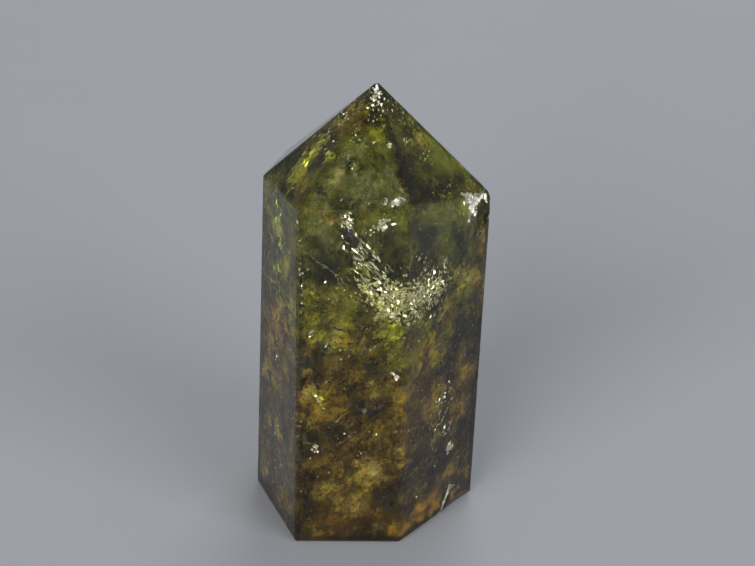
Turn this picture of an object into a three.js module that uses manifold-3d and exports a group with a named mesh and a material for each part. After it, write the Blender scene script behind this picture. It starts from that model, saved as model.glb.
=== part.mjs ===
// A cut and polished citrine point: one six-sided quartz crystal that stands on its sawn base.
// Millimetres, +Z up, with the origin at the middle of the base. The stone is shaped the way a
// lapidary shapes it: a rough block loses one flat slice after another, then its edges are eased,
// and last come the small shell-shaped breaks that it has picked up since.
import * as THREE from "three";
import { mergeVertices } from "three/addons/utils/BufferGeometryUtils.js";
import Module from "manifold-3d";

const wasm = await Module();
wasm.setup();

const TIP = new THREE.Vector3(-0.63, -1.65, 70); // where the six point faces meet
const BLANK = 120; // side of the rough block that the stone is cut from
const SLICE = 200; // side of the block of waste that each cut takes away

// Six sides, counted anticlockwise from the left one as seen from above. The prism face looks
// towards `facing`, measured anticlockwise from +X, is `reach` from the axis at the base, and
// leans in by `lean`. The point face above it looks towards `pointFacing` and slopes at `slope`.
const SIDES = [
  { facing: 204.7, reach: 15.42, lean: -0.3, pointFacing: 200.65, slope: 45.45 },
  { facing: 273.65, reach: 14.61, lean: 0.9, pointFacing: 271.7, slope: 48.35 },
  { facing: 321.35, reach: 13.41, lean: 1.4, pointFacing: 331.4, slope: 52.6 },
  { facing: 33.15, reach: 14.23, lean: -0.7, pointFacing: 31.25, slope: 47.55 },
  { facing: 99.4, reach: 13.92, lean: 1.25, pointFacing: 97.5, slope: 49.9 },
  { facing: 167.4, reach: 16.72, lean: 1.1, pointFacing: 161.7, slope: 45.35 },
];

// Widths of the eased edges.
const UPRIGHT_EASE = 0.5;
const SHOULDER_EASE = 0.35;
const RIDGE_EASE = 0.3;
const BASE_EASE = 0.7;

// Shell-shaped breaks. Each is a shallow dish `width` across and `depth` deep, whose middle is
// `at` on the whole stone's surface and which was struck from `facing`, `rise` above the level.
const BREAKS = [
  { at: [15.4, -0.25, 50.3], facing: 322, rise: 4, width: 6.2, depth: 0.75 }, // right shoulder
  { at: [16.4, 1.1, 51.8], facing: 345, rise: 38, width: 3.0, depth: 0.5 }, // the corner above it
  { at: [-0.68, -1.8, 69.7], facing: 250, rise: 48, width: 1.9, depth: 0.35 }, // tip
  { at: [-16.4, -1.75, 54.8], facing: 182, rise: 44, width: 1.7, depth: 0.25 }, // left shoulder
  { at: [14.9, -2.85, 0.2], facing: 321, rise: -16, width: 7.6, depth: 0.45 }, // right foot
  { at: [-14.05, 11.1, 31], facing: 133, rise: 6, width: 2.4, depth: 0.3 }, // back left edge
  { at: [7, 15.2, 0.3], facing: 66, rise: -24, width: 3.4, depth: 0.5 }, // back foot
];
const BREAK_FACETS = 11; // how finely the striking ball is divided

const UP = new THREE.Vector3(0, 0, 1);
const radians = THREE.MathUtils.degToRad;

// A unit vector towards a compass direction about +Z and a rise above the level, in degrees.
function direction(facing, rise) {
  const level = Math.cos(radians(rise));
  const flat = new THREE.Vector3(level, 0, Math.sin(radians(rise)));
  return flat.applyAxisAngle(UP, radians(facing));
}

// A closed geometry as a solid, with its shared corners joined.
function solidOf(geometry) {
  const bare = geometry.clone();
  bare.deleteAttribute("normal");
  bare.deleteAttribute("uv");
  const merged = mergeVertices(bare, 1e-4);
  const mesh = new wasm.Mesh({
    numProp: 3,
    vertProperties: merged.attributes.position.array,
    triVerts: new Uint32Array(merged.index.array),
  });
  return new wasm.Manifold(mesh);
}

// A flat cut is the unit vector out of the stone and the cut's distance from the origin along it.
function prismCut({ facing, reach, lean }) {
  return { normal: direction(facing, lean), distance: reach * Math.cos(radians(lean)) };
}

function pointCut({ pointFacing, slope }) {
  const normal = direction(pointFacing, 90 - slope);
  return { normal, distance: normal.dot(TIP) };
}

// The narrow cut that eases the edge between two faces, leaving a flat `width` across.
function easingCut(a, b, width) {
  const normal = a.normal.clone().add(b.normal).normalize();
  const depth = (width / 2) * Math.tan(a.normal.angleTo(b.normal) / 2);
  // A point on the edge is a mix of the two normals.
  const between = a.normal.dot(b.normal);
  const share = 1 / (1 - between * between);
  const onEdge = a.normal.clone().multiplyScalar((a.distance - between * b.distance) * share);
  onEdge.addScaledVector(b.normal, (b.distance - between * a.distance) * share);
  return { normal, distance: normal.dot(onEdge) - depth };
}

// The block of waste beyond a cut.
function waste({ normal, distance }) {
  const block = new THREE.BoxGeometry(SLICE, SLICE, SLICE);
  block.translate(0, 0, SLICE / 2 + distance);
  block.applyQuaternion(new THREE.Quaternion().setFromUnitVectors(UP, normal));
  return solidOf(block);
}

// The ball whose cap is the waste of one break.
function bite({ at, facing, rise, width, depth }) {
  const radius = (width * width) / (8 * depth) + depth / 2;
  const ball = new THREE.IcosahedronGeometry(radius, BREAK_FACETS);
  const middle = new THREE.Vector3(...at).addScaledVector(direction(facing, rise), radius - depth);
  ball.translate(...middle);
  return solidOf(ball);
}

function everyCut() {
  const base = { normal: new THREE.Vector3(0, 0, -1), distance: 0 };
  const prism = SIDES.map(prismCut);
  const point = SIDES.map(pointCut);
  const easing = SIDES.flatMap((side, i) => {
    const next = (i + 1) % SIDES.length;
    return [
      easingCut(prism[i], prism[next], UPRIGHT_EASE),
      easingCut(prism[i], point[i], SHOULDER_EASE),
      easingCut(point[i], point[next], RIDGE_EASE),
      easingCut(prism[i], base, BASE_EASE),
    ];
  });
  return [base, ...prism, ...point, ...easing];
}

function crystalGeometry() {
  let stone = solidOf(new THREE.BoxGeometry(BLANK, BLANK, 2 * BLANK));
  for (const each of everyCut()) {
    stone = stone.subtract(waste(each));
  }
  for (const each of BREAKS) {
    stone = stone.subtract(bite(each));
  }
  const { vertProperties, triVerts } = stone.getMesh();
  const geometry = new THREE.BufferGeometry();
  geometry.setAttribute("position", new THREE.BufferAttribute(vertProperties, 3));
  geometry.setIndex(new THREE.BufferAttribute(triVerts, 1));
  // The origin goes to the middle of the base.
  geometry.computeBoundingBox();
  const middle = geometry.boundingBox.getCenter(new THREE.Vector3());
  geometry.translate(-middle.x, -middle.y, 0);
  geometry.computeVertexNormals();
  return geometry;
}

const citrine = new THREE.MeshStandardMaterial({
  color: new THREE.Color(0.34, 0.3, 0.12),
  roughness: 0.06,
  metalness: 0,
  transparent: true,
  opacity: 0.85,
});

const crystal = new THREE.Mesh(crystalGeometry(), citrine);
crystal.name = "crystal_point";

const part = new THREE.Group();
part.add(crystal);

export default part;
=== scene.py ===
"""A citrine crystal point: one six-sided quartz crystal, cut and polished, that stands on its sawn base.

The stone itself is a closed, see-through solid. Sealed inside it are the things that make up its look:
smoke and clouds, a healed fracture, a crackled patch, cracks, small bright films and dark specks.
Some of the cloud's colour and a few of the ribbons are painted shade, sheen, glow and highlight.
"""

import math
import random
from typing import NamedTuple

import bmesh
import bpy
from bpy.props import FloatProperty, FloatVectorProperty, IntProperty, PointerProperty
from mathutils import Matrix, Vector, noise


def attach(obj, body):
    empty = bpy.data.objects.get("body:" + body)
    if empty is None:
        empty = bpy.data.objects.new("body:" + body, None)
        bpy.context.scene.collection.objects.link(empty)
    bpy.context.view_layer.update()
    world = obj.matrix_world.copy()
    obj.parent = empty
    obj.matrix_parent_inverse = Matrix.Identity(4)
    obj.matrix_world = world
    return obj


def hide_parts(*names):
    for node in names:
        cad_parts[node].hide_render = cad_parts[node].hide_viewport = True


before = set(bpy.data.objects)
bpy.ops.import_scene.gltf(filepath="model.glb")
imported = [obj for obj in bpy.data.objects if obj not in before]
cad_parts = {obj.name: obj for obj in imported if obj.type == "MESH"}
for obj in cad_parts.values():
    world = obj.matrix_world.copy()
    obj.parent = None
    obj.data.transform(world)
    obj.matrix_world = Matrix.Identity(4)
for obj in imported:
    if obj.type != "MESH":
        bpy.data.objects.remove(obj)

bl_info = {
    "name": "Citrine crystal point",
    "version": (1, 0, 0),
    "blender": (4, 5, 0),
    "location": "3D View > Sidebar > Citrine",
    "description": "Builds a polished citrine point with the clouds and fractures inside it",
    "category": "Object",
}

MM = 0.001
UP = Vector((0, 0, 1))
CAD_NODE = "crystal_point"
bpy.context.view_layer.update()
QUARTZ_IOR = 1.544
ROUGH_BLOCK = 300 * MM  # side of the block that each solid is cut from


# ---------------------------------------------------------------- the stone's flat faces


def flat_cuts(least_area):
    """The planes of the frame's stone whose faces are larger than least_area, in square millimetres."""
    bm = bmesh.new()
    bm.from_mesh(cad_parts[CAD_NODE].data)
    bmesh.ops.remove_doubles(bm, verts=bm.verts, dist=0.001 * MM)
    bmesh.ops.dissolve_limit(bm, angle_limit=math.radians(1), verts=bm.verts, edges=bm.edges)
    cuts = []
    for face in sorted(bm.faces, key=lambda each: -each.calc_area()):
        known = any(face.normal.dot(normal) > 0.9998 for normal, _ in cuts)
        if face.calc_area() > least_area * MM * MM and not known:
            cuts.append((face.normal.copy(), face.normal.dot(face.calc_center_median())))
    bm.free()
    return cuts


MAIN_CUTS = flat_cuts(60)  # the base, the prism faces and the point faces
EVERY_CUT = flat_cuts(2.5)  # these and the eased edges


def depth_of(point):
    """How far inside the stone's flat faces a point is."""
    return min(distance - normal.dot(point) for normal, distance in MAIN_CUTS)


def kept_inside(point, margin):
    """The point, moved in from every face that it is nearer to than margin."""
    for _ in range(3):
        for normal, distance in MAIN_CUTS:
            over = normal.dot(point) - (distance - margin)
            if over > 0:
                point = point - normal * over
    return point


def nearest_cut(point):
    """The normal and distance of the face that is nearest to a point."""
    return min(MAIN_CUTS, key=lambda cut: cut[1] - cut[0].dot(point))


def beneath(point, depth):
    """The place depth below the part of the stone's surface that is nearest to a point."""
    normal, distance = nearest_cut(point)
    return kept_inside(point + normal * (distance - normal.dot(point)), depth)


# The stone's films lie in a few sets, each of them parallel: the ways that they would face in the air.
SETS = [Vector((-0.24, -0.87, 0.43)), Vector((0.39, -0.79, 0.48)), Vector((0.08, 0.88, 0.46))]


def set_facing(outward):
    """The way that the films of the nearest set face beneath a face of the stone."""
    towards = max(SETS, key=outward.dot)
    sideways = (towards - outward * outward.dot(towards)) / QUARTZ_IOR
    return sideways + outward * math.sqrt(1 - sideways.length_squared)


def tilted(facing, tilt, chance):
    """A direction, turned a little at random."""
    lean = Vector((chance.gauss(0, 1), chance.gauss(0, 1), chance.gauss(0, 1))) * tilt
    return (facing + lean).normalized()


def cut_solid(cuts, inset=0.0):
    """A bmesh of the solid that a rough block leaves after flat cuts, each one moved in by inset."""
    bm = bmesh.new()
    bmesh.ops.create_cube(bm, size=ROUGH_BLOCK)
    for normal, distance in cuts:
        whole = bm.verts[:] + bm.edges[:] + bm.faces[:]
        made = bmesh.ops.bisect_plane(
            bm,
            geom=whole,
            dist=0.0001 * MM,
            plane_co=normal * (distance - inset),
            plane_no=normal,
            clear_outer=True,
        )
        rim = [each for each in made["geom_cut"] if isinstance(each, bmesh.types.BMEdge)]
        bmesh.ops.holes_fill(bm, edges=rim)
    bmesh.ops.recalc_face_normals(bm, faces=bm.faces)
    return bm


# ---------------------------------------------------------------- finishes


class Wire:
    """A socket of a finish that ordinary arithmetic works on."""

    def __init__(self, finish, socket):
        self.finish = finish
        self.socket = socket

    def maths(self, operation, *values):
        return self.finish.node("ShaderNodeMath", {"operation": operation}, dict(enumerate(values)))

    def __add__(self, other):
        return self.maths("ADD", self, other)

    def __sub__(self, other):
        return self.maths("SUBTRACT", self, other)

    def __rsub__(self, other):
        return self.maths("SUBTRACT", other, self)

    def __mul__(self, other):
        return self.maths("MULTIPLY", self, other)

    def __truediv__(self, other):
        return self.maths("DIVIDE", self, other)

    __radd__ = __add__
    __rmul__ = __mul__

    def clamped(self):
        return self.maths("MINIMUM", self.maths("MAXIMUM", self, 0.0), 1.0)


# The sockets of a Mix node that is set to colours.
MIX_FACTOR = 0
MIX_FIRST = 6
MIX_SECOND = 7
MIX_RESULT = 2


class Finish:
    """A material under construction."""

    def __init__(self, name):
        self.material = bpy.data.materials.new(name)
        self.material.use_nodes = True
        self.tree = self.material.node_tree
        self.tree.nodes.clear()

    def node(self, kind, settings=None, inputs=None, output=0):
        """Adds a node, sets it up, wires it, and gives back one of its outputs, if it has any."""
        made = self.tree.nodes.new(kind)
        for name, value in (settings or {}).items():
            if name == "stops":
                self.set_stops(made.color_ramp, value)
            else:
                setattr(made, name, value)
        for name, value in (inputs or {}).items():
            if isinstance(value, Wire):
                self.tree.links.new(value.socket, made.inputs[name])
            else:
                made.inputs[name].default_value = value
        return Wire(self, made.outputs[output]) if made.outputs else None

    @staticmethod
    def set_stops(ramp, stops):
        while len(ramp.elements) < len(stops):
            ramp.elements.new(1.0)
        for element, (position, colour) in zip(ramp.elements, stops):
            element.position = position
            element.color = (*colour, 1.0)

    def place(self):
        return self.node("ShaderNodeTexCoord", output="Object")

    def axis(self, name):
        """One of the coordinates, in metres."""
        return self.node("ShaderNodeSeparateXYZ", None, {"Vector": self.place()}, name)

    def drawn_out(self, stretch, along):
        """Coordinates in which a pattern is drawn out along one direction."""
        turn = Vector(along).to_track_quat("Z", "Y").to_euler()
        mapping = {"Vector": self.place(), "Rotation": turn, "Scale": (1, 1, stretch)}
        return self.node("ShaderNodeMapping", {"vector_type": "TEXTURE"}, mapping)

    def noise(self, scale, detail=3.0, roughness=0.55, stretch=1.0, along=UP):
        """Cloudy noise around 0.5, with scale features a metre."""
        inputs = {"Vector": self.drawn_out(stretch, along), "Scale": scale}
        inputs.update({"Detail": detail, "Roughness": roughness})
        return self.node("ShaderNodeTexNoise", None, inputs)

    def cells(self, scale, feature="F1", output="Distance", stretch=1.0, along=UP):
        """A pattern of crooked cells, with scale cells a metre."""
        inputs = {"Vector": self.drawn_out(stretch, along), "Scale": scale}
        return self.node("ShaderNodeTexVoronoi", {"feature": feature}, inputs, output)

    def cell_tones(self, scale, stretch=1.0, along=UP):
        """A random value from 0 to 1 for each crooked cell."""
        colours = self.cells(scale, output="Color", stretch=stretch, along=along)
        return self.node("ShaderNodeSeparateXYZ", None, {"Vector": colours}, "X")

    def drawn(self, name):
        """A value painted on the mesh."""
        return self.node("ShaderNodeAttribute", {"attribute_name": name}, output="Fac")

    def ramp(self, value, stops):
        """A colour that changes with a value."""
        return self.node("ShaderNodeValToRGB", {"stops": stops}, {"Fac": value}, "Color")

    def blend(self, factor, first, second):
        """A mix of two colours."""
        inputs = {MIX_FACTOR: factor}
        for socket, colour in ((MIX_FIRST, first), (MIX_SECOND, second)):
            inputs[socket] = colour if isinstance(colour, Wire) else (*colour, 1.0)
        return self.node("ShaderNodeMix", {"data_type": "RGBA"}, inputs, MIX_RESULT)

    def bump(self, height, strength, distance):
        """Small relief, distance high."""
        inputs = {"Height": height, "Strength": strength, "Distance": distance}
        return self.node("ShaderNodeBump", None, inputs, "Normal")

    def finished(self, surface, volume=None):
        """Ends the material in a Principled surface, with an absorbing inside if one is given."""
        ends = {"Surface": self.node("ShaderNodeBsdfPrincipled", None, surface)}
        if volume:
            ends["Volume"] = self.node("ShaderNodeVolumeAbsorption", None, volume)
        self.node("ShaderNodeOutputMaterial", None, ends)
        return self.material


def add_piece(name, bm, material, slot, smooth=False):
    """Turns a bmesh into a piece of the stone."""
    mesh = bpy.data.meshes.new(name)
    bm.to_mesh(mesh)
    bm.free()
    if smooth:
        mesh.shade_smooth()
    mesh.materials.append(material)
    piece = bpy.data.objects.new(name, mesh)
    bpy.context.scene.collection.objects.link(piece)
    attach(piece, "root")
    return piece


# ---------------------------------------------------------------- settings


class StoneSettings(bpy.types.PropertyGroup):
    """The stone itself."""

    ior: FloatProperty(name="Refraction", description="Quartz's index of refraction", default=QUARTZ_IOR)
    tint: FloatVectorProperty(
        name="Tint",
        description="The colour that the clear stone lets through",
        subtype="COLOR",
        size=3,
        default=(0.76, 0.775, 0.03),
    )
    depth: FloatProperty(name="Depth of tint", description="How strongly the stone absorbs", default=150.0)
    ripple: FloatProperty(
        name="Ripple height",
        description="Height of the ripples on a shell-shaped break",
        default=0.03 * MM,
        unit="LENGTH",
    )
    nicks: IntProperty(name="Nicks", description="How many small nicks the edges carry", default=46)


class StageSettings(bpy.types.PropertyGroup):
    """The floor, lights and camera."""

    floor: FloatVectorProperty(
        name="Floor",
        description="Colour of the floor",
        subtype="COLOR",
        size=3,
        default=(0.31, 0.322, 0.35),
    )
    sky: FloatProperty(name="Surrounding light", description="Strength of the even light", default=0.25)
    key: FloatProperty(name="Main light", description="Main light's power", default=60, unit="POWER")
    fill: FloatProperty(name="Second light", description="Second light's power", default=36, unit="POWER")
    back: FloatProperty(name="Back light", description="Back light's power", default=32, unit="POWER")


class CitrineSettings(bpy.types.PropertyGroup):
    """Everything that can be changed."""

    stone: PointerProperty(type=StoneSettings)
    stage: PointerProperty(type=StageSettings)


# ---------------------------------------------------------------- the stone

# Shell-shaped breaks, in millimetres and degrees: the middle on the whole stone's surface, the
# direction and rise that the break faces, its width and its depth.
BREAKS = [
    ((15.4, -0.25, 50.3), 322, 4, 6.2, 0.75),  # right shoulder
    ((16.4, 1.1, 51.8), 345, 38, 3.0, 0.5),  # the corner above it
    ((-0.68, -1.8, 69.7), 250, 48, 1.9, 0.35),  # tip
    ((-16.4, -1.75, 54.8), 182, 44, 1.7, 0.25),  # left shoulder
    ((14.9, -2.85, 0.2), 321, -16, 7.6, 0.45),  # right foot
    ((-14.05, 11.1, 31), 133, 6, 2.4, 0.3),  # back left edge
    ((7, 15.2, 0.3), 66, -24, 3.4, 0.5),  # back foot
]
BREAK_STEPS = 56  # how finely the floor of a break is divided
NICK_STEPS = 9
LONG_EDGE = 6 * MM  # the nicks are on edges longer than this


def bearing(facing, rise):
    """A unit vector towards a compass direction about +Z and a rise above the level, in degrees."""
    level = math.cos(math.radians(rise))
    around = math.radians(facing)
    return Vector((level * math.cos(around), level * math.sin(around), math.sin(math.radians(rise))))


def add_waste(bm, at, outward, width, depth, steps, ripple, chance):
    """Adds the block of waste of one break: its underside is a shallow, rippled dish."""
    radius = width * width / (8 * depth) + depth / 2
    reach = 0.62 * width
    turn = outward.to_track_quat("Z", "Y").to_matrix().to_4x4()
    spin = Matrix.Rotation(chance.uniform(0, math.tau), 4, "Z")
    made = bmesh.ops.create_grid(bm, x_segments=steps, y_segments=steps, size=reach)
    struck = Vector((0.5 * width, 0, 0))
    shift = Vector((chance.uniform(0, 50), chance.uniform(0, 50), 0))
    for vert in made["verts"]:
        flat = vert.co.copy()
        out = flat.length
        rise = radius - math.sqrt(max(radius * radius - out * out, 0.04 * radius * radius)) - depth
        waver = 3 * noise.noise(flat / width * 2 + shift)
        rings = math.sin((flat - struck).length / (0.13 * width) + waver)
        lumps = noise.noise(flat / width * 7 + shift)
        vert.co.z = rise + ripple * (rings + 1.4 * lumps)
    floor = list({face for vert in made["verts"] for face in vert.link_faces})
    raised = bmesh.ops.extrude_face_region(bm, geom=floor)
    lid = [each for each in raised["geom"] if isinstance(each, bmesh.types.BMVert)]
    highest = max(vert.co.z for vert in lid)
    for vert in lid:
        vert.co.z = highest + width / 4
    whole = made["verts"] + lid
    bmesh.ops.transform(bm, matrix=Matrix.Translation(at) @ turn @ spin, verts=whole)


def edge_points(bm, count, chance):
    """Seeded points along the stone's long edges, each with the way out of the stone there."""
    edges = [edge for edge in bm.edges if edge.calc_length() > LONG_EDGE and len(edge.link_faces) == 2]
    lengths = [edge.calc_length() for edge in edges]
    for _ in range(count):
        edge = chance.choices(edges, lengths)[0]
        share = chance.uniform(0.04, 0.96)
        at = edge.verts[0].co.lerp(edge.verts[1].co, share)
        outward = (edge.link_faces[0].normal + edge.link_faces[1].normal).normalized()
        yield at, outward


def subtract(piece, bm, name):
    """Cuts the closed solids in a bmesh out of a piece."""
    bmesh.ops.recalc_face_normals(bm, faces=bm.faces)
    mesh = bpy.data.meshes.new(name)
    bm.to_mesh(mesh)
    bm.free()
    tool = bpy.data.objects.new(name, mesh)
    bpy.context.scene.collection.objects.link(tool)
    cut = piece.modifiers.new(name, "BOOLEAN")
    cut.operation = "DIFFERENCE"
    cut.solver = "EXACT"
    cut.use_self = True
    cut.object = tool
    evaluated = piece.evaluated_get(bpy.context.evaluated_depsgraph_get())
    result = bpy.data.meshes.new_from_object(evaluated)
    piece.modifiers.clear()
    piece.data = result
    bpy.data.objects.remove(tool)


def lies_on(face, cuts):
    """Whether a face is part of one of the flat cuts."""
    middle = face.calc_center_median()
    return any(
        face.normal.dot(normal) > 0.9999 and abs(normal.dot(middle) - distance) < 0.003 * MM
        for normal, distance in cuts
    )


def mark_worn(piece):
    """Notes which faces are broken or eased rather than cut flat, and shades the broken ones smooth."""
    bm = bmesh.new()
    bm.from_mesh(piece.data)
    bmesh.ops.remove_doubles(bm, verts=bm.verts, dist=0.0005 * MM)
    fresh = bm.faces.layers.float.new("fresh")
    eased = bm.faces.layers.float.new("eased")
    for face in bm.faces:
        broken = not lies_on(face, EVERY_CUT)
        face[fresh] = float(broken)
        face[eased] = float(not broken and not lies_on(face, MAIN_CUTS))
        face.smooth = broken
    for edge in bm.edges:
        edge.smooth = all(face.smooth for face in edge.link_faces)
    bm.to_mesh(piece.data)
    bm.free()


def stone_finish(settings):
    """Polished quartz: clear, faintly scuffed, greyer where an edge is eased or broken."""
    finish = Finish("polished_citrine")
    fresh = finish.drawn("fresh")
    eased = finish.drawn("eased")
    scuff = finish.noise(900, 6, 0.7)
    haze = finish.noise(60, 3, 0.5)
    worn = (scuff * 2.4 - 1.0).clamped()
    roughness = 0.012 + haze * 0.02 + eased * worn * 0.4 + fresh * 0.05
    ripples = finish.noise(140, 2, 0.5)
    grain = finish.noise(2600, 3, 0.6)
    height = ripples * 0.3 + grain * (0.02 + 0.3 * eased + 0.1 * fresh)
    surface = {
        "Base Color": (1, 1, 1, 1),
        "Roughness": roughness,
        "IOR": settings.ior,
        "Transmission Weight": 1.0,
        "Normal": finish.bump(height, 0.25, 0.02 * MM),
    }
    volume = {"Color": (*settings.tint, 1), "Density": settings.depth}
    return finish.finished(surface, volume)


class CITRINE_OT_stone(bpy.types.Operator):
    """Build the polished crystal, with its breaks and nicked edges"""

    bl_idname = "citrine.stone"
    bl_label = "Crystal"

    def execute(self, context):
        settings = context.scene.citrine.stone
        chance = random.Random(4)
        bm = cut_solid(EVERY_CUT)
        spots = list(edge_points(bm, settings.nicks, chance))
        piece = add_piece("citrine_crystal", bm, stone_finish(settings), "citrine")
        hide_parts(CAD_NODE)
        breaks = bmesh.new()
        for at, facing, rise, width, depth in BREAKS:
            outward = bearing(facing, rise)
            place = Vector(at) * MM
            sizes = (width * MM, depth * MM, BREAK_STEPS, settings.ripple)
            add_waste(breaks, place, outward, *sizes, chance)
        subtract(piece, breaks, "break_tool")
        nicks = bmesh.new()
        for at, outward in spots:
            width = chance.uniform(0.35, 1.0) * MM
            depth = chance.uniform(0.1, 0.16) * width
            add_waste(nicks, at, outward, width, depth, NICK_STEPS, 0.08 * depth, chance)
        subtract(piece, nicks, "nick_tool")
        mark_worn(piece)
        return {"FINISHED"}


# ---------------------------------------------------------------- the clouds

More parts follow.
